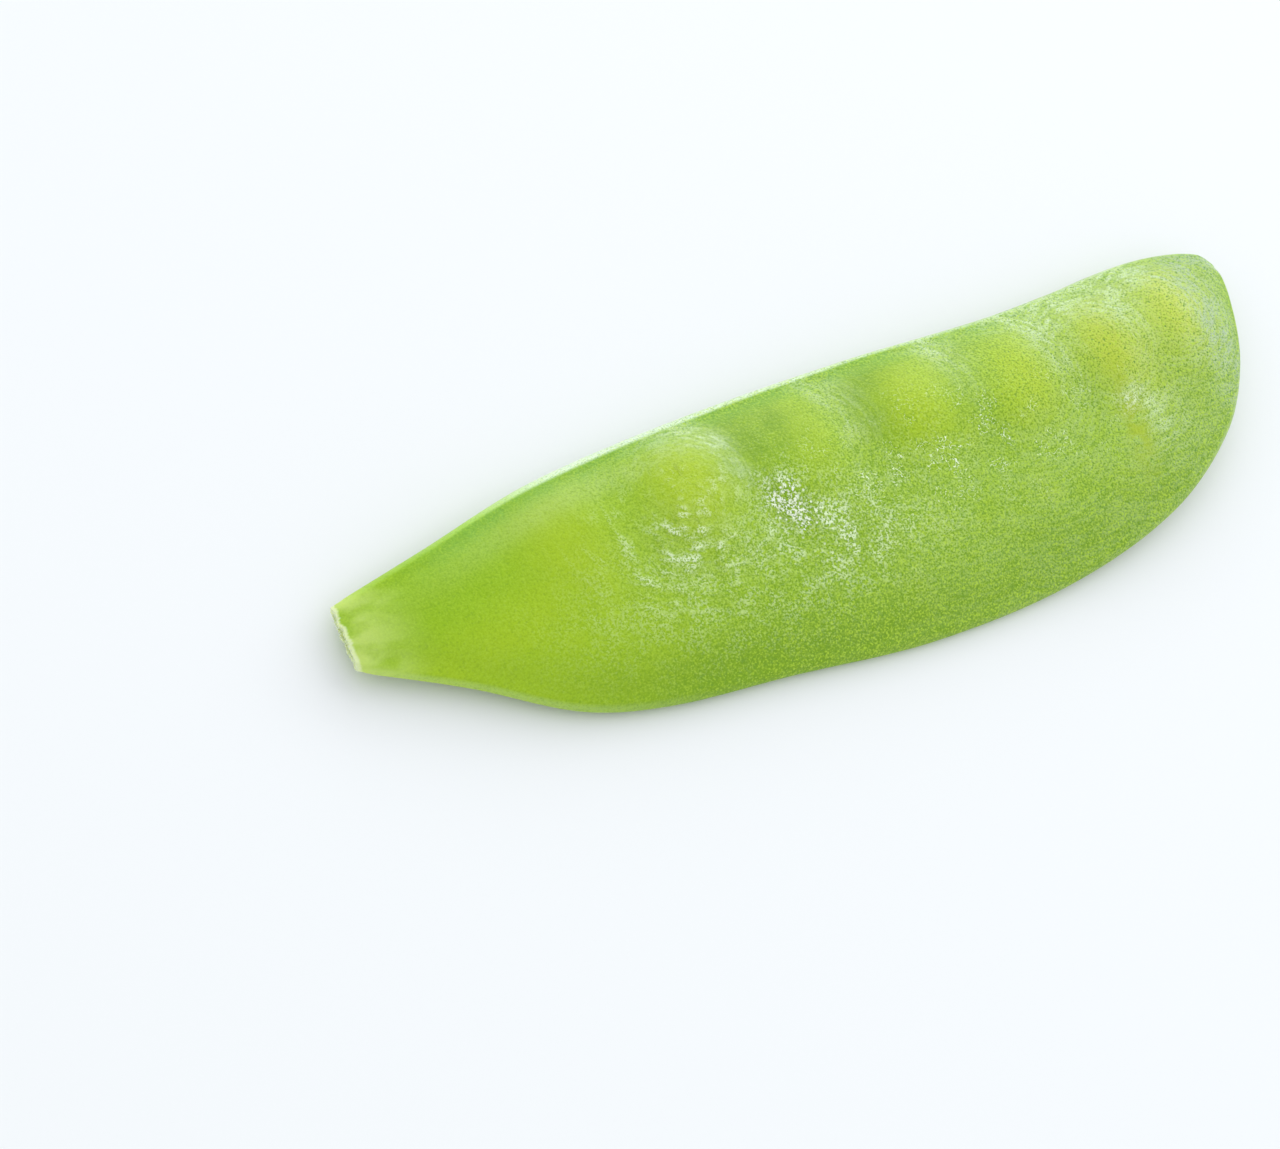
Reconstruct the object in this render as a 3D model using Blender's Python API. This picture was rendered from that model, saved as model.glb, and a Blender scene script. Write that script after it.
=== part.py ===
"""A trimmed snow pea pod lying on its side.

+X runs from the cut stem end to the blunt blossom end, +Y points to the seam that
carries the peas, and +Z is up. The origin is under the middle of the pod, on the
surface it lies on. All lengths are in metres.
"""

import math

import bmesh
import bpy
from mathutils import Vector

# Driving sizes of the pod.
LENGTH = 0.0745
WIDTH = 0.0223
FLAT_THICKNESS = 0.0036
VENTRAL_RIM_THICKNESS = 0.0012
DORSAL_RIM_THICKNESS = 0.0010
CUT_THINNING = 0.60  # how much thinner the pod gets towards the trimmed stem end

# The two edges of the pod seen from above, from the cut to the tip, as fractions of
# the length (from the cut end) and of the width (from the middle line).
VENTRAL_EDGE = [
    (0.00, 0.190),
    (0.10, 0.270),
    (0.22, 0.370),
    (0.38, 0.425),
    (0.56, 0.450),
    (0.72, 0.450),
    (0.81, 0.470),
    (0.86, 0.490),
    (0.91, 0.500),
    (0.95, 0.490),
    (0.98, 0.460),
    (1.00, 0.400),
]
DORSAL_EDGE = [
    (0.00, -0.020),
    (0.09, -0.175),
    (0.18, -0.350),
    (0.26, -0.420),
    (0.38, -0.455),
    (0.53, -0.500),
    (0.69, -0.475),
    (0.82, -0.370),
    (0.91, -0.190),
    (0.96, 0.010),
    (0.99, 0.240),
    (1.00, 0.400),
]

# Each pea's place (fractions as above) and how far it lifts each wall.
PEAS = [
    (0.220, 0.140, 0.0003),
    (0.350, 0.170, 0.0009),
    (0.455, 0.200, 0.0008),
    (0.595, 0.210, 0.0009),
    (0.700, 0.180, 0.0007),
    (0.810, 0.200, 0.0008),
    (0.895, 0.255, 0.0007),
]
PEA_RADIUS_ALONG = 0.0041
PEA_RADIUS_TO_BELLY = 0.0041
PEA_RADIUS_TO_SEAM = 0.0050

# How the pod's middle sheet lies over the table: arched across the pea row, drooping
# towards the stem end, and turned a little about its length at the blossom end.
PEA_ROW_ACROSS = 0.18
PEA_ROW_HEIGHT = 0.0024
ARCH_DROP = 0.00102
STEM_DROOP = 0.0008
BLOSSOM_TWIST = 0.08
TWIST_START = 0.60

# The mouth of the cut, between the two walls.
MOUTH_DEPTH = 0.0025
MOUTH_ACROSS = 0.68
MOUTH_OPEN = 0.42

# Mesh density.
STATIONS = 62
RIM_STEPS = 3
FACE_STEPS = 16
LAST_STATION = 0.99


def curve_through(points):
    """Return a function of 0..1 that follows a smooth curve, evenly along its length."""
    ends = [2 * points[0] - points[1], 2 * points[-1] - points[-2]]
    padded = [ends[0], *points, ends[1]]
    fine = []
    steps = 40
    for first, start, end, last in zip(padded, padded[1:], padded[2:], padded[3:]):
        into = (end - first).normalized() * (end - start).length
        out = (last - start).normalized() * (end - start).length
        for step in range(steps):
            u = step / steps
            fine.append(
                start * (2 * u**3 - 3 * u**2 + 1)
                + into * (u**3 - 2 * u**2 + u)
                + end * (3 * u**2 - 2 * u**3)
                + out * (u**3 - u**2)
            )
    fine.append(points[-1])
    reached = [0.0]
    for a, b in zip(fine, fine[1:]):
        reached.append(reached[-1] + (b - a).length)

    def at(fraction):
        wanted = fraction * reached[-1]
        index = 0
        while index < len(fine) - 2 and reached[index + 1] < wanted:
            index += 1
        span = reached[index + 1] - reached[index]
        return fine[index].lerp(fine[index + 1], (wanted - reached[index]) / span)

    return at


def plan_point(fractions):
    along, across = fractions
    return Vector(((along - 0.5) * LENGTH, across * WIDTH))


ventral_edge = curve_through([plan_point(pair) for pair in VENTRAL_EDGE])
dorsal_edge = curve_through([plan_point(pair) for pair in DORSAL_EDGE])


def pea_lift(x, y):
    """How far the peas push each wall out at a place."""
    lift = 0.0
    for along, across, height in PEAS:
        centre = plan_point((along, across))
        dx = (x - centre.x) / PEA_RADIUS_ALONG
        dy = (y - centre.y) / (PEA_RADIUS_TO_SEAM if y > centre.y else PEA_RADIUS_TO_BELLY)
        lift += height * math.exp(-((dx * dx + dy * dy) ** 1.3))
    return lift


def middle_height(x, y):
    """Height of the pod's middle sheet over the table."""
    from_row = y - PEA_ROW_ACROSS * WIDTH
    height = PEA_ROW_HEIGHT - ARCH_DROP * (from_row / (WIDTH / 2)) ** 2
    towards_stem = max(0.0, -x / (LENGTH / 2))
    height -= STEM_DROOP * towards_stem**2
    along = x / LENGTH + 0.5
    turned = min(1.0, max(0.0, (along - TWIST_START) / (1.0 - TWIST_START)))
    turned = turned * turned * (3 - 2 * turned)
    return height - BLOSSOM_TWIST * turned * from_row


def half_thickness(x, y, share, width):
    """Half the pod's thickness, share of the way from ventral to dorsal edge."""
    rim = VENTRAL_RIM_THICKNESS * (1 - share) + DORSAL_RIM_THICKNESS * share
    fullness = min(1.0, width / (0.6 * WIDTH)) ** 0.6
    swell = (1 - abs(2 * share - 1) ** 2.6) ** 0.9
    flat = rim / 2 + (FLAT_THICKNESS - rim) / 2 * swell * fullness
    towards_stem = max(0.0, -x / (LENGTH / 2))
    return flat * (1 - CUT_THINNING * towards_stem**3) + pea_lift(x, y) * swell**0.5


def section_place(index):
    """(share from ventral to dorsal, fullness of the rim, side) of one section point."""
    half = RIM_STEPS * 2 + FACE_STEPS
    side = 1 if index < half else -1
    step = index if index < half else 2 * half - index
    rim_share = 0.035
    if step <= RIM_STEPS:
        turn = step / RIM_STEPS * math.pi / 2
        return rim_share * (1 - math.cos(turn)), math.sin(turn), side
    if step >= half - RIM_STEPS:
        turn = (half - step) / RIM_STEPS * math.pi / 2
        return 1 - rim_share * (1 - math.cos(turn)), math.sin(turn), side
    between = (step - RIM_STEPS) / FACE_STEPS
    return rim_share + (1 - 2 * rim_share) * between, 1.0, side


def surface_point(station, index):
    top = ventral_edge(station)
    bottom = dorsal_edge(station)
    width = (top - bottom).length
    share, rim_fullness, side = section_place(index)
    place = top.lerp(bottom, share)
    tip_fade = min(1.0, width / (3 * VENTRAL_RIM_THICKNESS)) ** 0.5
    half = half_thickness(place.x, place.y, share, width) * rim_fullness * tip_fade
    height = middle_height(place.x, place.y) + side * half
    return Vector((place.x, place.y, max(0.0, height)))


def build_pod():
    section_points = 2 * (2 * RIM_STEPS + FACE_STEPS)
    bm = bmesh.new()
    place = bm.verts.layers.int.new("place")
    ring = bmesh.ops.create_circle(bm, segments=section_points, radius=WIDTH / 2)
    for number, vert in enumerate(ring["verts"]):
        vert[place] = number
        vert.co = surface_point(0.0, number)
    cut_edges = list(bm.edges)
    edges = cut_edges
    for number in range(1, STATIONS + 1):
        station = LAST_STATION * number / STATIONS
        grown = bmesh.ops.extrude_edge_only(bm, edges=edges)["geom"]
        edges = [item for item in grown if isinstance(item, bmesh.types.BMEdge)]
        for item in grown:
            if isinstance(item, bmesh.types.BMVert):
                item.co = surface_point(station, item[place])
    tip_face = bmesh.ops.contextual_create(bm, geom=edges)["faces"]
    tip = bmesh.ops.poke(bm, faces=tip_face)["verts"][0]
    tip_place = ventral_edge(1.0)
    tip.co = Vector((*tip_place, middle_height(*tip_place)))

    # The cut end: a flat rim round a shallow mouth.
    cut_face = bmesh.ops.contextual_create(bm, geom=cut_edges)["faces"][0]
    centre = cut_face.calc_center_median()
    bmesh.ops.inset_individual(bm, faces=[cut_face], thickness=0.0)
    for vert in cut_face.verts:
        vert.co.y = centre.y + (vert.co.y - centre.y) * MOUTH_ACROSS
        vert.co.z = centre.z + (vert.co.z - centre.z) * MOUTH_OPEN
    bmesh.ops.inset_individual(bm, faces=[cut_face], thickness=0.0)
    for vert in cut_face.verts:
        vert.co.x += MOUTH_DEPTH
        vert.co.z = centre.z + (vert.co.z - centre.z) * 0.5

    bmesh.ops.recalc_face_normals(bm, faces=bm.faces)
    mesh = bpy.data.meshes.new("pod")
    bm.to_mesh(mesh)
    bm.free()
    mesh.shade_smooth()
    mesh.set_sharp_from_angle(angle=math.radians(50))
    return mesh


def skin_material():
    material = bpy.data.materials.new("pod_skin")
    material.use_nodes = True
    shader = material.node_tree.nodes["Principled BSDF"]
    shader.inputs["Base Color"].default_value = (0.35, 0.56, 0.08, 1.0)
    shader.inputs["Roughness"].default_value = 0.42
    shader.inputs["Metallic"].default_value = 0.0
    return material


for old in list(bpy.data.objects):
    bpy.data.objects.remove(old, do_unlink=True)

pod = bpy.data.objects.new("pod", build_pod())
pod.data.materials.append(skin_material())
bpy.context.scene.collection.objects.link(pod)
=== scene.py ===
"""A trimmed snow pea pod on a pale table, under soft studio light."""

import math

import bmesh
import bpy
from mathutils import Matrix, Vector, noise


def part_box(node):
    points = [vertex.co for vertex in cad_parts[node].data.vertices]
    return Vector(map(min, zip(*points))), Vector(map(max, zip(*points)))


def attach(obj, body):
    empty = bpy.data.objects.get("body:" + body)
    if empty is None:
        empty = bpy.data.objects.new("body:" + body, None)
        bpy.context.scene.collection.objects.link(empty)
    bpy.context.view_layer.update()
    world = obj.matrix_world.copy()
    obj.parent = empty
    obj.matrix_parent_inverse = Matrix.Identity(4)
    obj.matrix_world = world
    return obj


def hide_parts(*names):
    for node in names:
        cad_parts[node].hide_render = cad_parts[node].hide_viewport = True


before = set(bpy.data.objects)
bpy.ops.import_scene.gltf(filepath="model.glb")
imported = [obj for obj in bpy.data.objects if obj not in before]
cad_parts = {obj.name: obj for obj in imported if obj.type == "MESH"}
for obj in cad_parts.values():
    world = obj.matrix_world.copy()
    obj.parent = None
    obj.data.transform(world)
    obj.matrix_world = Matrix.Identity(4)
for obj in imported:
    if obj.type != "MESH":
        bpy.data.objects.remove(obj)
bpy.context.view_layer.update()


# ---------------------------------------------------------------------------
# Table, camera and lamps. The pod lies on a plain white table. The camera looks
# down on its upper side from the stem end, and big soft lamps stand behind it.

pod_low, pod_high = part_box("pod")
pod_length = pod_high[0] - pod_low[0]
pod_width = pod_high[1] - pod_low[1]

table_size = 3.0
table_white = (0.86, 0.87, 0.88, 1.0)
table_roughness = 0.75
bpy.ops.mesh.primitive_plane_add(size=table_size)
table = bpy.context.object
table.name = "table"
table_paint = bpy.data.materials.new("table_paint")
table_paint.use_nodes = True
paint = table_paint.node_tree.nodes["Principled BSDF"]
paint.inputs["Base Color"].default_value = table_white
paint.inputs["Roughness"].default_value = table_roughness
paint.inputs["Specular IOR Level"].default_value = 0.2
table.data.materials.append(table_paint)

camera_azimuth = math.radians(-52.2)
camera_elevation = math.radians(60.0)
camera_roll = math.radians(30.0)
camera_distance = 2.75 * pod_length
looked_at = Vector((-0.207 * pod_length, 0.0156 * pod_width, 0.0))

towards_camera = Vector((
    math.sin(camera_azimuth) * math.cos(camera_elevation),
    -math.cos(camera_azimuth) * math.cos(camera_elevation),
    math.sin(camera_elevation),
))
level_right = Vector((math.cos(camera_azimuth), math.sin(camera_azimuth), 0.0))
level_up = towards_camera.cross(level_right)
picture_right = math.cos(camera_roll) * level_right + math.sin(camera_roll) * level_up
picture_up = towards_camera.cross(picture_right)
lens = bpy.data.cameras.new("camera")
lens.lens = 85.0
lens.sensor_width = 36.0
lens.clip_start = 0.01
camera = bpy.data.objects.new("camera", lens)
turned = Matrix((picture_right, picture_up, towards_camera)).transposed().to_4x4()
camera_place = looked_at + camera_distance * towards_camera
camera.matrix_world = Matrix.Translation(camera_place) @ turned
bpy.context.scene.collection.objects.link(camera)
bpy.context.scene.camera = camera


def soft_lamp(name, towards, distance, size, power, colour):
    """A flat lamp of that size, in a direction from the pod, facing it."""
    data = bpy.data.lights.new(name, "AREA")
    data.shape = "RECTANGLE"
    data.size, data.size_y = size
    data.energy = power
    data.color = colour
    lamp = bpy.data.objects.new(name, data)
    direction = Vector(towards).normalized()
    lamp.location = direction * distance
    lamp.rotation_euler = direction.to_track_quat("Z", "Y").to_euler()
    bpy.context.scene.collection.objects.link(lamp)


soft_lamp(
    "window_lamp",
    towards=(0.73, 0.42, 0.52),
    distance=0.9,
    size=(1.5, 0.8),
    power=4.2,
    colour=(0.96, 0.98, 1.0),
)
soft_lamp(
    "low_lamp",
    towards=(0.72, 0.60, 0.33),
    distance=0.9,
    size=(1.6, 0.25),
    power=2.1,
    colour=(0.94, 0.98, 1.0),
)

room_light = (0.95, 0.98, 1.0, 1.0)
room_strength = 0.91
world = bpy.data.worlds.new("studio")
world.use_nodes = True
background = world.node_tree.nodes["Background"]
background.inputs["Color"].default_value = room_light
background.inputs["Strength"].default_value = room_strength
bpy.context.scene.world = world
bpy.context.scene.view_settings.view_transform = "Standard"


# ---------------------------------------------------------------------------
# The pod. It grew in one piece: two thin walls joined along the ventral seam, which
# carries the peas, and the dorsal seam, or keel. The peas push both walls out. Its stem
# end is trimmed off, which leaves a ragged slit, and its blossom end is blunt.

# The two edges from the cut to the tip: (share of the length, share of the width).
ventral_points = [
    (0.00, 0.190),
    (0.10, 0.270),
    (0.22, 0.370),
    (0.38, 0.425),
    (0.56, 0.450),
    (0.72, 0.450),
    (0.81, 0.470),
    (0.86, 0.490),
    (0.91, 0.500),
    (0.95, 0.490),
    (0.98, 0.460),
    (1.00, 0.400),
]
dorsal_points = [
    (0.00, -0.020),
    (0.09, -0.175),
    (0.18, -0.350),
    (0.26, -0.420),
    (0.38, -0.455),
    (0.53, -0.500),
    (0.69, -0.475),
    (0.82, -0.370),
    (0.91, -0.190),
    (0.96, 0.010),
    (0.99, 0.240),
    (1.00, 0.400),
]
# Each pea's place as such shares, and how far it lifts each wall, in metres.
peas = [
    (0.220, 0.140, 0.0003),
    (0.350, 0.170, 0.0009),
    (0.455, 0.200, 0.0008),
    (0.595, 0.210, 0.0009),
    (0.700, 0.180, 0.0007),
    (0.810, 0.200, 0.0008),
    (0.895, 0.255, 0.0007),
]
pea_radius_along = 0.0041
pea_radius_to_belly = 0.0041
pea_radius_to_seam = 0.0050

flat_thickness = 0.0036
ventral_rim_thickness = 0.0011
dorsal_rim_thickness = 0.0009
cut_thinning = 0.60

# How the pod's middle sheet lies over the table: arched across the pea row, drooping
# towards the stem end, and turned a little about its length at the blossom end.
pea_row_across = 0.18
pea_row_height = 0.0024
arch_drop = 0.00102
stem_droop = 0.0008
blossom_twist = 0.08
twist_start = 0.60

ring_count = 400
rim_steps = 9
face_steps = 98
last_station = 0.995


def plan_point(shares):
    """A place seen from above, from its shares of the length and the width."""
    along, across = shares
    return Vector(((along - 0.5) * pod_length, across * pod_width))


def curve_through(points):
    """A function of 0..1 that follows a smooth curve, evenly along its length."""
    padded = [2 * points[0] - points[1], *points, 2 * points[-1] - points[-2]]
    fine = []
    steps = 60
    for first, start, end, last in zip(padded, padded[1:], padded[2:], padded[3:]):
        into = (end - first).normalized() * (end - start).length
        out = (last - start).normalized() * (end - start).length
        for step in range(steps):
            u = step / steps
            fine.append(
                start * (2 * u**3 - 3 * u**2 + 1)
                + into * (u**3 - 2 * u**2 + u)
                + end * (3 * u**2 - 2 * u**3)
                + out * (u**3 - u**2)
            )
    fine.append(points[-1])
    reached = [0.0]
    for a, b in zip(fine, fine[1:]):
        reached.append(reached[-1] + (b - a).length)

    def at(share):
        wanted = share * reached[-1]
        low, high = 0, len(fine) - 2
        while low < high:
            middle = (low + high + 1) // 2
            if reached[middle] <= wanted:
                low = middle
            else:
                high = middle - 1
        span = reached[low + 1] - reached[low]
        return fine[low].lerp(fine[low + 1], (wanted - reached[low]) / span)

    return at


ventral_edge = curve_through([plan_point(pair) for pair in ventral_points])
dorsal_edge = curve_through([plan_point(pair) for pair in dorsal_points])
pea_centres = [plan_point(pea[:2]) for pea in peas]
pea_heights = [pea[2] for pea in peas]


def hump(distance, width):
    """A smooth bump: 1 in the middle, 0 well outside that width."""
    return math.exp(-((distance / width) ** 2))


def rise(value, low, high):
    """0 below low, 1 above high, smooth between."""
    share = min(1.0, max(0.0, (value - low) / (high - low)))
    return share * share * (3 - 2 * share)


def patch(x, y, middle, half_length, half_width, degrees=0, strength=1.0):
    """An oval patch of the skin: that strength in its middle, 0 well outside it.

    The middle is (share of the length, share of the width), and the sizes are in metres.
    """
    centre = plan_point(middle)
    turn = math.radians(degrees)
    dx, dy = x - centre.x, y - centre.y
    along = dx * math.cos(turn) + dy * math.sin(turn)
    across = dy * math.cos(turn) - dx * math.sin(turn)
    return strength * math.exp(-((along / half_length) ** 2 + (across / half_width) ** 2))


def pea_lift(x, y):
    """How far the peas push each wall out at a place."""
    lift = 0.0
    for centre, height in zip(pea_centres, pea_heights):
        dx = (x - centre.x) / pea_radius_along
        dy = (y - centre.y) / (pea_radius_to_seam if y > centre.y else pea_radius_to_belly)
        lift += height * math.exp(-((dx * dx + dy * dy) ** 1.3))
    return lift


def middle_height(x, y):
    """Height of the pod's middle sheet over the table."""
    from_row = y - pea_row_across * pod_width
    height = pea_row_height - arch_drop * (from_row / (pod_width / 2)) ** 2
    towards_stem = max(0.0, -x / (pod_length / 2))
    height -= stem_droop * towards_stem**2
    turned = rise(x / pod_length + 0.5, twist_start, 1.0)
    return height - blossom_twist * turned * from_row


def half_thickness(x, y, share, width):
    """Half the pod's thickness, share of the way from ventral to dorsal edge."""
    rim = ventral_rim_thickness * (1 - share) + dorsal_rim_thickness * share
    fullness = min(1.0, width / (0.6 * pod_width)) ** 0.6
    swell = (1 - abs(2 * share - 1) ** 2.6) ** 0.9
    flat = rim / 2 + (flat_thickness - rim) / 2 * swell * fullness
    towards_stem = max(0.0, -x / (pod_length / 2))
    return flat * (1 - cut_thinning * towards_stem**3) + pea_lift(x, y) * swell**0.5


# Where the skin has begun to wilt, it is creased in arcs round the lower side of one pea.
# The values of each patch from here on are in the order in which patch() takes them.
crease_centre = plan_point((0.345, 0.190))
crease_patch = ((0.330, -0.010), 0.0056, 0.0042, 12)

# Waves of the skin: how many to a metre, and how high.
broad_waves = 180
broad_wave_height = 0.00010
fine_waves = 520
fine_wave_height = 0.000022
crease_arcs = 750
crease_arc_height = 0.00005


def round_crease_centre(x, y):
    """(distance, turn) from the middle of the creases' arcs: 0 is towards the belly."""
    arm = Vector((x - crease_centre.x, y - crease_centre.y))
    return arm.length, math.atan2(arm.x, -arm.y)


def waviness(x, y, side):
    """Small undulations of a grown skin, in metres."""
    broad = noise.noise(Vector((x * broad_waves, y * broad_waves, 3.0 * side)))
    fine = noise.noise(Vector((x * fine_waves, y * fine_waves, 7.0 * side)))
    reach, turn = round_crease_centre(x, y)
    arcs = noise.noise(Vector((reach * crease_arcs, turn * 2.2, 5.0 * side)))
    creased = crease_arc_height * arcs * patch(x, y, *crease_patch)
    return broad_wave_height * broad + fine_wave_height * fine + creased


section_points = 2 * (2 * rim_steps + face_steps)
half_section = section_points // 2


def section_place(number, width):
    """(distance from ventral edge, fullness of the rim, side) of one section point."""
    side = 1 if number < half_section else -1
    step = number if number < half_section else section_points - number
    ventral_rim = min(0.5 * ventral_rim_thickness, 0.3 * width)
    dorsal_rim = min(0.5 * dorsal_rim_thickness, 0.3 * width)
    if step <= rim_steps:
        turn = step / rim_steps * math.pi / 2
        return ventral_rim * (1 - math.cos(turn)), math.sin(turn), side
    if step >= half_section - rim_steps:
        turn = (half_section - step) / rim_steps * math.pi / 2
        return width - dorsal_rim * (1 - math.cos(turn)), math.sin(turn), side
    between = (step - rim_steps) / face_steps
    return ventral_rim + (width - ventral_rim - dorsal_rim) * between, 1.0, side


# The trimmed edge is torn: how deep on average, and its coarse and its sharp teeth.
tear_depth = 0.00016
coarse_teeth = 1500
coarse_tooth_depth = 0.00018
sharp_teeth = 4200
sharp_tooth_depth = 0.00028
tear_reach = 0.0016


def torn_edge(y, side):
    """How far the torn cut edge stands back from the plane of the cut."""
    coarse = noise.noise(Vector((y * coarse_teeth, 11.0, 4.0 * side)))
    sharp = abs(noise.noise(Vector((y * sharp_teeth, 2.0, 9.0 * side))))
    return tear_depth + coarse_tooth_depth * coarse + sharp_tooth_depth * sharp


# A low ridge and a groove run beside each seam: (distance in from the edge, width, height).
seam_ridges = [(0.0005, 0.0004, 0.00007), (0.0013, 0.0006, -0.00008)]
keel_ridges = [(0.0004, 0.0004, 0.00004), (0.0012, 0.0006, -0.00004)]
flat_beside_seam = 0.002


def ridge_height(distance, ridges):
    """How far the ridges and grooves beside an edge stand out, that far from it."""
    return sum(height * hump(distance - middle, width) for middle, width, height in ridges)


def skin_point(station, number):
    """(place, distances from the ventral edge, the dorsal edge and the cut) of a point."""
    top = ventral_edge(station)
    bottom = dorsal_edge(station)
    width = (top - bottom).length
    from_seam, rim_fullness, side = section_place(number, width)
    share = from_seam / width
    x, y = top.lerp(bottom, share)
    half = half_thickness(x, y, share, width)
    from_keel = width - from_seam
    half += ridge_height(from_seam, seam_ridges)
    half += ridge_height(from_keel, keel_ridges)
    wavy = min(1.0, from_seam / flat_beside_seam) * min(1.0, from_keel / flat_beside_seam)
    half += waviness(x, y, side) * wavy
    tip_fade = min(1.0, width / (3 * ventral_rim_thickness)) ** 0.5
    height = middle_height(x, y) + side * half * rim_fullness * tip_fade
    from_cut = x + pod_length / 2
    x += torn_edge(y, side) * (1 - rise(from_cut, 0.0, tear_reach))
    return Vector((x, y, max(0.0, height))), from_seam, from_keel, from_cut


# Each pea shows through the wall as a yellow spot, moved towards the lit side of its bump as
# painted light: (how far its middle lies to the pea's tip side, its half length, its
# strength).
pea_spots = [
    (0.0000, 0.0036, 0.65),
    (0.0002, 0.0036, 1.00),
    (0.0018, 0.0024, 0.60),
    (0.0004, 0.0034, 0.95),
    (0.0013, 0.0029, 1.00),
    (0.0010, 0.0031, 1.00),
    (0.0013, 0.0028, 1.00),
]
spot_to_seam = 0.0046
spot_to_belly = 0.0042

# How much painted shade darkens the green beside each pea, on the side that faces the stem
# and the ventral seam, and a patch of painted shade between the third pea and that seam.
shade_beside_pea = [0.0, 0.0, 1.0, 1.0, 0.6, 0.15, 0.3]
shade_facing = math.radians(137)
shade_spread = 0.42
shade_patch = ((0.440, 0.265), 0.0027, 0.0026, 0, 1.2)

# The outline of a pea's bump in the skin.
bump_half_length = 0.0036
bump_to_seam = 0.0048
bump_to_belly = 0.0040


def pea_colour_at(x, y):
    """How much the peas show through the wall, each spot moved to its bump's lit side."""
    cover = 0.0
    for centre, (to_tip, half_length, strength) in zip(pea_centres, pea_spots):
        dx = (x - centre.x - to_tip) / half_length
        dy = (y - centre.y) / (spot_to_seam if y > centre.y else spot_to_belly)
        cover += strength * math.exp(-(math.hypot(dx, dy) ** 2.5))
    return min(1.0, cover)


def round_pea(x, y, centre):
    """(reach, turn) from a pea: reach is 1 on its outline, turn is 0 towards the tip."""
    dx = (x - centre.x) / bump_half_length
    dy = (y - centre.y) / (bump_to_seam if y > centre.y else bump_to_belly)
    return math.hypot(dx, dy), math.atan2(dy, dx)


def painted_shade_at(x, y, from_seam):
    """How much painted shade darkens the wall's green."""
    cover = patch(x, y, *shade_patch)
    for centre, strength in zip(pea_centres, shade_beside_pea):
        reach, turn = round_pea(x, y, centre)
        facing = max(0.0, math.cos(turn - shade_facing)) ** 0.8
        cover += strength * hump(reach - 1.0, shade_spread) * facing
    return min(1.0, cover) * rise(from_seam, 0.0004, 0.0020)


# A painted sheen lies in an arc round each pea but the first, on the side where light falls:
# (the way it faces and how far it spreads to each side, in degrees, its reach from the pea,
# how far it fades towards the pea and away from it, its strength). There are two patches of
# pale wax bloom too.
sheen_arcs = [
    (52, 58, 1.05, 0.36, 0.22, 0.95),
    (25, 50, 1.38, 0.20, 0.62, 0.55),
    (40, 38, 1.40, 0.33, 0.36, 0.85),
    (40, 70, 1.30, 0.32, 0.50, 0.58),
    (90, 95, 0.95, 0.38, 0.42, 0.75),
    (60, 125, 1.00, 0.50, 0.42, 0.85),
]
bloom_patches = [
    ((0.817, -0.005), 0.0013, 0.0008, -30, 0.90),
    ((0.840, -0.105), 0.0021, 0.0025, 0, 0.50),
]
# Along the seam, the keel and the tip, and over the belly, it is partly painted sheen.
seam_bloom_and_sheen = 0.90
stem_bloom = 0.30
keel_bloom_and_sheen = 0.25
tip_bloom_and_sheen_band = 0.60
crease_bloom = 0.12
belly_bloom_and_sheen = 0.24


def bloom_and_sheen_at(x, y, from_seam, from_keel):
    """How thick the pale bloom lies, partly wax and partly painted sheen, and the pea that its
    strokes curve round.
    """
    along = x / pod_length + 0.5
    seam_band = hump(from_seam - 0.0008, 0.0011 + 0.0008 * rise(along, 0.55, 0.85))
    cover = seam_bloom_and_sheen * seam_band * rise(along, 0.66, 0.84)
    cover += stem_bloom * hump(from_seam - 0.0026, 0.0011) * hump(along - 0.24, 0.13)
    cover += keel_bloom_and_sheen * rise(along, 0.90, 0.96) * hump(from_keel - 0.0022, 0.0012)
    cover += tip_bloom_and_sheen_band * hump(along - 0.948, 0.028) * rise(from_seam, 0.0, 0.001)
    for bloom_patch in bloom_patches:
        cover += patch(x, y, *bloom_patch)
    cover += crease_bloom * patch(x, y, *crease_patch)
    cover += belly_bloom_and_sheen * rise(along, 0.30, 0.80) * rise(from_seam, 0.007, 0.012)
    thickest = -1.0
    nearest = pea_centres[1]
    for centre, arc in zip(pea_centres[1:], sheen_arcs):
        facing, spread, middle, fade_in, fade_out, strength = arc
        reach, turn = round_pea(x, y, centre)
        fade = fade_in if reach < middle else fade_out
        aside = (math.degrees(turn) - facing + 180) % 360 - 180
        thickness = strength * hump(reach - middle, fade) * hump(aside, spread)
        cover += thickness
        if thickness - 0.01 * reach > thickest:
            thickest = thickness - 0.01 * reach
            nearest = centre
    return min(1.0, cover), nearest


# Tiny painted glints on the wilted skin, curled wrinkles, and a faint yellow bruise.
glint_patches = [
    ((0.434, 0.008), 0.0020, 0.0013, -65, 2.0),
    ((0.480, -0.120), 0.0032, 0.0028, 0, 0.45),
    ((0.600, 0.000), 0.0095, 0.0052, 0, 0.07),
    ((0.400, -0.150), 0.0120, 0.0040, 0, 0.30),
    ((0.817, -0.005), 0.0013, 0.0010, 0, 0.45),
]
most_glints = 1.6
glints_below = 0.4
curl_patch = ((0.620, 0.010), 0.0130, 0.0042)
bruise_patch = ((0.808, -0.060), 0.0042, 0.0010, -95)

pod_mesh = bmesh.new()
ring_place = pod_mesh.verts.layers.int.new("ring_place")
layer_names = (
    "seam_mm",
    "keel_mm",
    "cut_mm",
    "pea_cover",
    "painted_shade_cover",
    "bruise_cover",
    "bloom_and_sheen_cover",
    "bloom_and_sheen_reach",
    "bloom_and_sheen_turn_x",
    "bloom_and_sheen_turn_y",
    "glint_cover",
    "crease_cover",
    "crease_reach",
    "crease_turn",
    "curl_cover",
)
layers = {name: pod_mesh.verts.layers.float.new(name) for name in layer_names}


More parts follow.
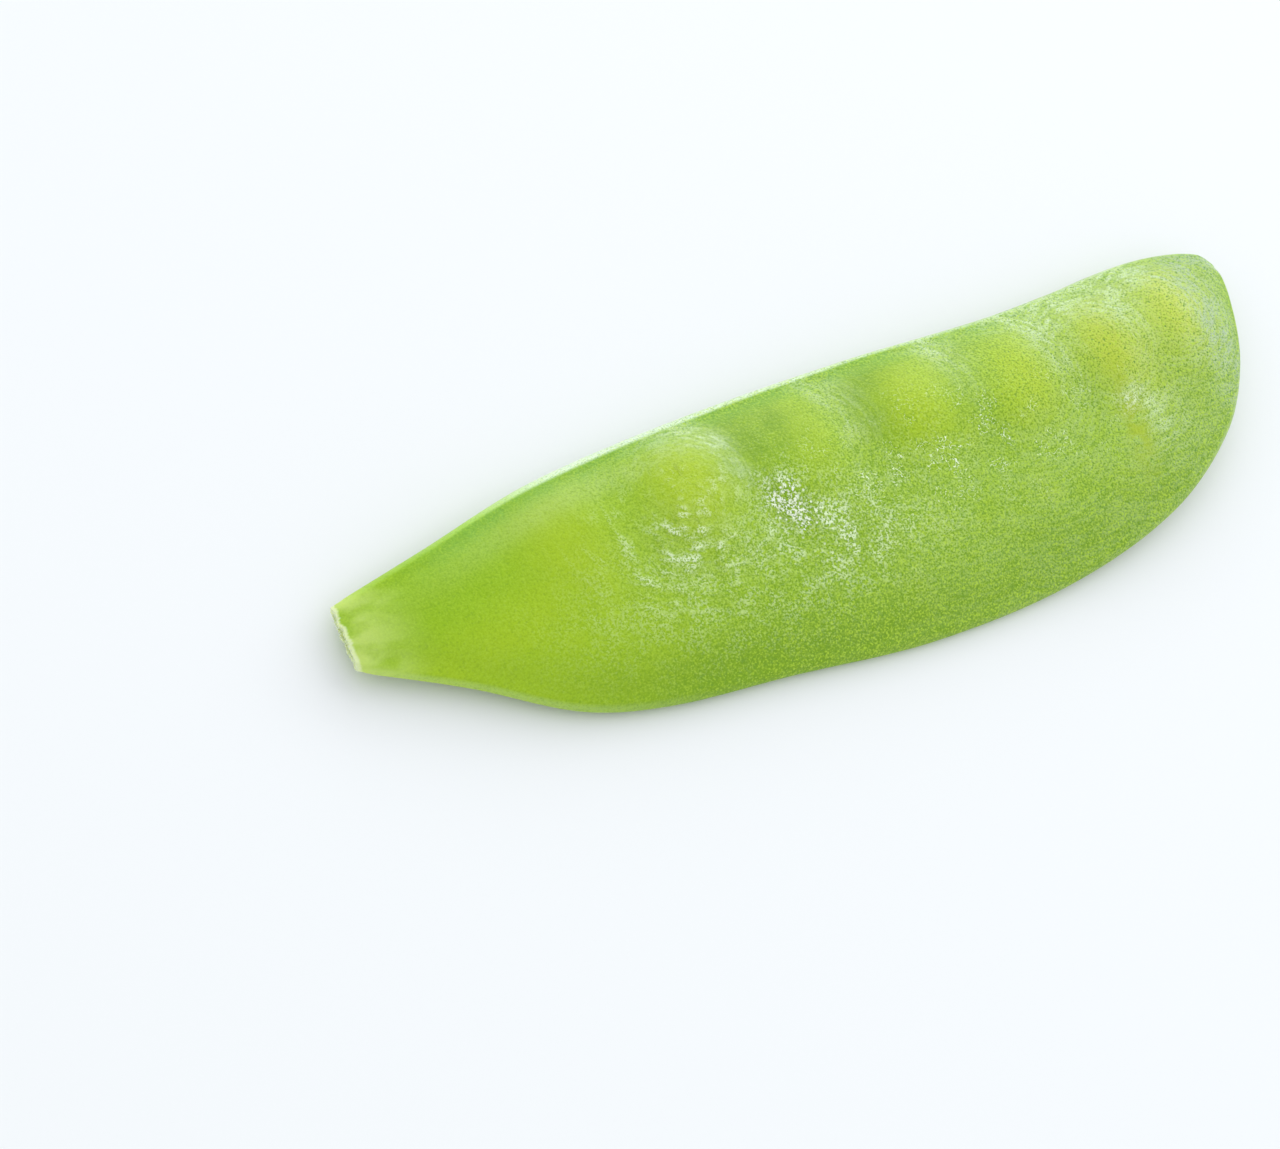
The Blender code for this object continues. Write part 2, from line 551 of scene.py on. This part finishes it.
def put(vert, station):
    """Move a vertex to its place in the ring at a station, and store what its look needs."""
    vert.co, from_seam, from_keel, from_cut = skin_point(station, vert[ring_place])
    x, y = vert.co.x, vert.co.y
    crease_reach, crease_turn = round_crease_centre(x, y)
    bloom_and_sheen, pea_centre = bloom_and_sheen_at(x, y, from_seam, from_keel)
    from_pea = Vector((x - pea_centre.x, y - pea_centre.y))
    glints = sum(patch(x, y, *glint_patch) for glint_patch in glint_patches)
    upper_side = vert[ring_place] < half_section
    values = {
        "seam_mm": from_seam * 1000,
        "keel_mm": from_keel * 1000,
        "cut_mm": from_cut * 1000,
        "pea_cover": pea_colour_at(x, y),
        "painted_shade_cover": painted_shade_at(x, y, from_seam),
        "bruise_cover": patch(x, y, *bruise_patch),
        "bloom_and_sheen_cover": bloom_and_sheen,
        "bloom_and_sheen_reach": from_pea.length * 1000,
        "bloom_and_sheen_turn_x": from_pea.normalized().x,
        "bloom_and_sheen_turn_y": from_pea.normalized().y,
        "glint_cover": min(most_glints, glints) * (1.0 if upper_side else glints_below),
        "crease_cover": patch(x, y, *crease_patch),
        "crease_reach": crease_reach * 1000,
        "crease_turn": crease_turn,
        "curl_cover": patch(x, y, *curl_patch),
    }
    for name, value in values.items():
        vert[layers[name]] = value


first_ring = bmesh.ops.create_circle(pod_mesh, segments=section_points, radius=pod_width / 2)
for number, vert in enumerate(first_ring["verts"]):
    vert[ring_place] = number
    put(vert, 0.0)
cut_edges = list(pod_mesh.edges)
edges = cut_edges
for ring in range(1, ring_count + 1):
    grown = bmesh.ops.extrude_edge_only(pod_mesh, edges=edges)["geom"]
    edges = [item for item in grown if isinstance(item, bmesh.types.BMEdge)]
    for item in grown:
        if isinstance(item, bmesh.types.BMVert):
            put(item, last_station * ring / ring_count)
tip_face = bmesh.ops.contextual_create(pod_mesh, geom=edges)["faces"]
bmesh.ops.poke(pod_mesh, faces=tip_face)

# The cut end shows the two walls, and a narrow slit between them.
slit_share_across = 0.84
slit_share_high = 0.36
slit_depth = 0.0035
slit_narrowing = 0.5
rough_cut_height = 0.00010
rough_cut_bumps = 3500
cut_face = bmesh.ops.contextual_create(pod_mesh, geom=cut_edges)["faces"][0]
cut_middle = cut_face.calc_center_median()
bmesh.ops.inset_individual(pod_mesh, faces=[cut_face], thickness=0.0)
for vert in cut_face.verts:
    vert.co.y = cut_middle.y + (vert.co.y - cut_middle.y) * slit_share_across
    vert.co.z = cut_middle.z + (vert.co.z - cut_middle.z) * slit_share_high
    vert.co.x += rough_cut_height * noise.noise(vert.co * rough_cut_bumps)
bmesh.ops.inset_individual(pod_mesh, faces=[cut_face], thickness=0.0)
for vert in cut_face.verts:
    vert.co.x += slit_depth
    vert.co.z = cut_middle.z + (vert.co.z - cut_middle.z) * slit_narrowing
bmesh.ops.recalc_face_normals(pod_mesh, faces=pod_mesh.faces)

pod_data = bpy.data.meshes.new("pod_body")
pod_mesh.to_mesh(pod_data)
pod_mesh.free()
pod_data.shade_smooth()
pod_data.set_sharp_from_angle(angle=math.radians(55))
pod = bpy.data.objects.new("pod_body", pod_data)
bpy.context.scene.collection.objects.link(pod)

# The skin: thin, moist and waxy, so light goes a little way into it.
skin = bpy.data.materials.new("pod_skin")
skin.use_nodes = True
nodes = skin.node_tree.nodes
wires = skin.node_tree.links
shader = nodes["Principled BSDF"]
shader.inputs["Specular IOR Level"].default_value = 0.26
shader.inputs["Subsurface Weight"].default_value = 0.40
shader.inputs["Subsurface Radius"].default_value = (1.0, 1.0, 0.25)
shader.inputs["Subsurface Scale"].default_value = 0.0012


def feed(socket, value):
    """Wire a socket to another, or set its value."""
    if isinstance(value, bpy.types.NodeSocket):
        wires.new(value, socket)
    else:
        socket.default_value = value


def worked_out(operation, first, second):
    """The result of a sum with two values, each a socket or a number."""
    made = nodes.new("ShaderNodeMath")
    made.operation = operation
    feed(made.inputs[0], first)
    feed(made.inputs[1], second)
    return made.outputs[0]


def times(first, *others):
    """All the values multiplied."""
    for other in others:
        first = worked_out("MULTIPLY", first, other)
    return first


def plus(first, second):
    return worked_out("ADD", first, second)


def ramp(value, low, high, out_low=0.0, out_high=1.0):
    """Smoothly from out_low, at or below low, to out_high, at or above high."""
    made = nodes.new("ShaderNodeMapRange")
    made.interpolation_type = "SMOOTHSTEP"
    for socket, amount in zip(made.inputs, (value, low, high, out_low, out_high)):
        feed(socket, amount)
    return made.outputs[0]


def blend(amount, first, second):
    """A colour between the first, where amount is 0, and the second, where it is 1."""
    made = nodes.new("ShaderNodeMix")
    made.data_type = "RGBA"
    feed(made.inputs[0], amount)
    feed(made.inputs[6], first)
    feed(made.inputs[7], second)
    return made.outputs[2]


def mottle(where, per_metre, detail=2.0, stretch=(1.0, 1.0, 1.0)):
    """Soft noise with that many features to a metre."""
    mapping = nodes.new("ShaderNodeMapping")
    feed(mapping.inputs["Vector"], where)
    mapping.inputs["Scale"].default_value = stretch
    made = nodes.new("ShaderNodeTexNoise")
    feed(made.inputs["Vector"], mapping.outputs[0])
    made.inputs["Scale"].default_value = per_metre
    made.inputs["Detail"].default_value = detail
    return made.outputs[0]


def cells(where, per_metre):
    """(distance to the nearest cell's middle, a value of that cell's own)."""
    made = nodes.new("ShaderNodeTexVoronoi")
    feed(made.inputs["Vector"], where)
    made.inputs["Scale"].default_value = per_metre
    return made.outputs["Distance"], made.outputs["Color"]


def curved_place(reach, turn_x, turn_y):
    """A place for noise that runs in strokes round a centre."""
    made = nodes.new("ShaderNodeCombineXYZ")
    for socket, amount in zip(made.inputs, (reach, turn_x, turn_y)):
        feed(socket, amount)
    return made.outputs[0]


def painted(name):
    """A value that is stored on the skin's vertices."""
    made = nodes.new("ShaderNodeAttribute")
    made.attribute_name = name
    return made.outputs["Fac"]


place_on_skin = nodes.new("ShaderNodeTexCoord").outputs["Object"]
seam = painted("seam_mm")
keel = painted("keel_mm")
from_cut = painted("cut_mm")
pea_cover = painted("pea_cover")
painted_shade_cover = painted("painted_shade_cover")

leaf_green = (0.290, 0.480, 0.008, 1.0)
stem_green = (0.285, 0.490, 0.004, 1.0)
stem_light = (0.365, 0.545, 0.006, 1.0)
belly_green = (0.258, 0.440, 0.015, 1.0)
dark_grain_and_shade_green = (0.185, 0.350, 0.006, 1.0)
tip_green = (0.350, 0.480, 0.060, 1.0)
pea_yellow = (0.400, 0.550, 0.006, 1.0)
pea_sheen_yellow = (0.535, 0.615, 0.065, 1.0)
painted_shade_green = (0.205, 0.365, 0.006, 1.0)
seam_shade_green = (0.200, 0.445, 0.050, 1.0)
bloom_and_sheen_pale = (0.630, 0.765, 0.470, 1.0)
tip_bloom_and_sheen = (0.390, 0.490, 0.375, 1.0)
light_speck = (0.430, 0.620, 0.040, 1.0)
rim_highlight_pale = (0.760, 0.900, 0.700, 1.0)
rim_highlight_lime = (0.480, 0.760, 0.120, 1.0)
cut_pale = (0.690, 0.800, 0.430, 1.0)
cut_lime = (0.590, 0.745, 0.190, 1.0)
pore_green = (0.110, 0.270, 0.030, 1.0)
bruise_yellow = (0.390, 0.505, 0.015, 1.0)
glint_white = (0.900, 0.990, 0.780, 1.0)

broad_mottle = mottle(place_on_skin, 170.0, 3.0)
middle_mottle = mottle(place_on_skin, 620.0, 3.0)
fine_mottle = mottle(place_on_skin, 4800.0, 2.0)
skin_grain = mottle(place_on_skin, 7200.0, 1.0)
cell_distance, cell_value = cells(place_on_skin, 2600.0)

# The wall is clouded green: yellower at the stem, paler at the tip, with painted shade at the
# keel.
# Distances from the seam, from the keel and from the cut are in millimetres.
colour = blend(ramp(broad_mottle, 0.35, 0.65), leaf_green, belly_green)
stem_colour = blend(ramp(seam, 4.0, 9.0), stem_green, stem_light)
colour = blend(ramp(from_cut, 32.0, 10.0), colour, stem_colour)
leaf_clouds = ramp(broad_mottle, 0.42, 0.62)
colour = blend(times(leaf_clouds, 0.35), colour, leaf_green)
near_tip = ramp(from_cut, 54.0, 66.0)
colour = blend(times(near_tip, 0.6), colour, tip_green)
yellow_clouds = ramp(mottle(place_on_skin, 330.0, 2.0), 0.52, 0.68)
yellow_clouds = times(yellow_clouds, ramp(from_cut, 28.0, 42.0))
colour = blend(times(yellow_clouds, 0.40), colour, pea_yellow)
# Painted shade darkens the wall towards the keel, where it turns under.
keel_shade_reach = ramp(from_cut, 12.0, 34.0, 4.0, 7.0)
keel_shade = times(ramp(keel, keel_shade_reach, 0.8), ramp(from_cut, 8.0, 24.0))
colour = blend(times(keel_shade, 0.85), colour, dark_grain_and_shade_green)

# The peas show through it, with painted shade beside them.
# Near the tip the peas' yellow is paler, a painted sheen.
pea_yellow_and_sheen = blend(ramp(from_cut, 50.0, 64.0), pea_yellow, pea_sheen_yellow)
colour = blend(times(pea_cover, 0.95), colour, pea_yellow_and_sheen)
pea_shade = times(painted_shade_cover, ramp(middle_mottle, 0.30, 0.60, 0.40, 0.95))
colour = blend(pea_shade, colour, painted_shade_green)
# Painted shade, a deeper bluish green, lies along the seam inside its rim.
seam_shade = times(ramp(seam, 2.6, 0.8), ramp(from_cut, 3.0, 12.0))
seam_shade = times(seam_shade, ramp(middle_mottle, 0.3, 0.6, 0.35, 0.75))
colour = blend(seam_shade, colour, seam_shade_green)

# The pale bloom, partly wax and partly painted sheen, lies in strokes that curve round the
# nearest pea, and is smooth near the stem.
bloom_and_sheen_reach = plus(painted("bloom_and_sheen_reach"), times(middle_mottle, 0.5))
bloom_and_sheen_turn_x = times(painted("bloom_and_sheen_turn_x"), 0.9)
bloom_and_sheen_turn_y = times(painted("bloom_and_sheen_turn_y"), 0.9)
bloom_and_sheen_strokes = mottle(curved_place(bloom_and_sheen_reach, bloom_and_sheen_turn_x, bloom_and_sheen_turn_y), 3.2, 4.0)
bloom_and_sheen_strokes = plus(times(middle_mottle, 0.5), bloom_and_sheen_strokes)
thin_bloom_and_sheen = ramp(from_cut, 17.0, 25.0, 0.55, 0.28)
thick_bloom_and_sheen = ramp(from_cut, 17.0, 25.0, 0.62, 1.0)
bloom_and_sheen_grain = ramp(bloom_and_sheen_strokes, 0.62, 0.88, thin_bloom_and_sheen, thick_bloom_and_sheen)
bloom_and_sheen_specks = ramp(fine_mottle, 0.30, 0.58, 0.65, 1.0)
bloom_and_sheen = times(painted("bloom_and_sheen_cover"), bloom_and_sheen_grain, bloom_and_sheen_specks)
bloom_and_sheen_colour = blend(ramp(from_cut, 66.0, 70.5), bloom_and_sheen_pale, tip_bloom_and_sheen)
colour = blend(bloom_and_sheen, colour, bloom_and_sheen_colour)

# The ventral rim carries a painted highlight line, lime at the stem, and the dorsal rim a
# fainter painted highlight.
rim_highlight_reach = plus(ramp(from_cut, 8.0, 18.0, 0.60, 0.82), ramp(from_cut, 28.0, 44.0, 0.0, -0.16))
rim_highlight = ramp(seam, rim_highlight_reach, times(rim_highlight_reach, 0.6))
rim_highlight = times(rim_highlight, ramp(from_cut, 3.0, 18.0, 0.25, 1.0))
rim_highlight = times(rim_highlight, ramp(from_cut, 34.0, 64.0, 1.0, 0.25))
rim_highlight_colour = blend(ramp(from_cut, 10.0, 20.0), rim_highlight_lime, rim_highlight_pale)
colour = blend(rim_highlight, colour, rim_highlight_colour)
keel_highlight = ramp(keel, 0.40, 0.1)
keel_highlight_share = plus(ramp(from_cut, 26.0, 12.0, 0.0, 0.14), ramp(from_cut, 64.0, 71.0, 0.0, 0.35))
colour = blend(times(keel_highlight, keel_highlight_share), colour, rim_highlight_pale)

# Specks, grain and pores, fewer near the stem and over the peas in the middle.
left_by_pea = ramp(from_cut, 40.0, 54.0, 0.45, 1.0)
smoothed = ramp(plus(pea_cover, painted_shade_cover), 0.0, 1.0, 1.0, left_by_pea)
speck_strength = times(ramp(from_cut, 10.0, 36.0, 0.18, 0.52), smoothed)
light_specks = times(ramp(fine_mottle, 0.48, 0.70), speck_strength)
light_specks = times(light_specks, ramp(pea_cover, 0.0, 1.0, 1.0, 0.4))
colour = blend(light_specks, colour, light_speck)
dark_specks = times(ramp(fine_mottle, 0.47, 0.28), speck_strength)
colour = blend(dark_specks, colour, pore_green)
grain_strength = times(ramp(from_cut, 10.0, 36.0, 0.30, 0.95), smoothed)
colour = blend(times(ramp(skin_grain, 0.515, 0.70), grain_strength), colour, light_speck)
colour = blend(times(ramp(skin_grain, 0.485, 0.30), grain_strength), colour, dark_grain_and_shade_green)
pores = times(ramp(cell_distance, 0.27, 0.15), ramp(from_cut, 38.0, 68.0, 0.1, 1.0))
pores = times(pores, ramp(cell_value, 0.48, 0.76, 0.0, 0.95))
colour = blend(pores, colour, pore_green)

# The bruise.
bruise_clouds = ramp(mottle(place_on_skin, 900.0, 3.0), 0.34, 0.54)
bruise = times(painted("bruise_cover"), bruise_clouds)
colour = blend(times(bruise, 0.8), colour, bruise_yellow)

# The wall pales towards the cut, in short streaks, and its torn edge is the palest.
cut_streaks = mottle(place_on_skin, 480.0, 3.0, (0.5, 1.0, 1.0))
near_cut = times(ramp(from_cut, 6.0, 0.4), ramp(cut_streaks, 0.38, 0.60, 0.20, 1.0))
colour = blend(times(near_cut, 0.75), colour, cut_lime)
cut_edge = ramp(plus(from_cut, times(cut_streaks, -0.45)), 0.14, -0.12)
colour = blend(cut_edge, colour, cut_pale)

# The glints are painted highlights: clusters of pale flecks and points, with deeper green
# between them.
glints = painted("glint_cover")
glint_clusters = ramp(mottle(place_on_skin, 700.0, 2.0), 0.38, 0.58, 0.15, 1.0)
glint_flecks = ramp(mottle(place_on_skin, 4200.0, 4.0), 0.43, 0.56)
glint_flecks = times(glint_flecks, ramp(skin_grain, 0.36, 0.52))
between_flecks = times(ramp(glint_flecks, 0.30, 0.0), times(glints, 0.25))
colour = blend(between_flecks, colour, dark_grain_and_shade_green)
colour = blend(times(glint_flecks, glint_clusters, glints), colour, glint_white)
glint_points = times(ramp(cell_distance, 0.32, 0.18), ramp(cell_value, 0.55, 0.40))
colour = blend(times(glint_points, ramp(glints, 0.15, 1.2)), colour, glint_white)

# The creases: arcs whose pale, broken crests are painted highlights.
crease_turn = times(painted("crease_turn"), 1.8)
crease_place = curved_place(painted("crease_reach"), crease_turn, times(middle_mottle, 1.4))
crease_waves = mottle(crease_place, 1.7, 5.0)
crease_breaks = ramp(mottle(place_on_skin, 420.0, 2.0), 0.38, 0.62, 0.15, 1.0)
creases = times(painted("crease_cover"), crease_breaks)
crest_highlights = times(ramp(crease_waves, 0.46, 0.68), creases)
crest_highlights = times(crest_highlights, ramp(skin_grain, 0.40, 0.56, 0.06, 0.8))
colour = blend(crest_highlights, colour, glint_white)

# Tiny curled wrinkles catch the light here and there: a painted highlight line and a painted
# shade line beside it.
curl_waves = mottle(place_on_skin, 2300.0, 1.0)
curls = times(painted("curl_cover"), ramp(mottle(place_on_skin, 560.0, 1.0), 0.47, 0.60))
curl_highlight = times(ramp(curl_waves, 0.480, 0.505), ramp(curl_waves, 0.535, 0.510))
curl_highlight = times(curl_highlight, ramp(skin_grain, 0.40, 0.56))
curl_shade = times(ramp(curl_waves, 0.520, 0.545), ramp(curl_waves, 0.575, 0.550))
colour = blend(times(curl_shade, curls), colour, dark_grain_and_shade_green)
colour = blend(times(curl_highlight, curls), colour, glint_white)
feed(shader.inputs["Base Color"], colour)

# The relief, in millimetres.
relief = times(fine_mottle, ramp(from_cut, 8.0, 34.0, 0.35, 1.0), 0.045)
relief = plus(relief, times(cell_distance, 0.010))
relief = plus(relief, times(middle_mottle, 0.050))
relief = plus(relief, times(crease_waves, creases, 0.30))
relief = plus(relief, times(glint_flecks, glints, 0.05))
relief = plus(relief, times(skin_grain, 0.012))
bump = nodes.new("ShaderNodeBump")
bump.inputs["Strength"].default_value = 1.0
bump.inputs["Distance"].default_value = 0.001
feed(bump.inputs["Height"], relief)
feed(shader.inputs["Normal"], bump.outputs[0])

# The glints are glossier than the rest, and the bloom is duller.
roughness = ramp(middle_mottle, 0.3, 0.7, 0.33, 0.43)
roughness = plus(roughness, times(glints, -0.12))
roughness = plus(roughness, times(bloom_and_sheen, 0.05))
feed(shader.inputs["Roughness"], roughness)
pod_data.materials.append(skin)

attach(pod, "root")
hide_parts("pod")
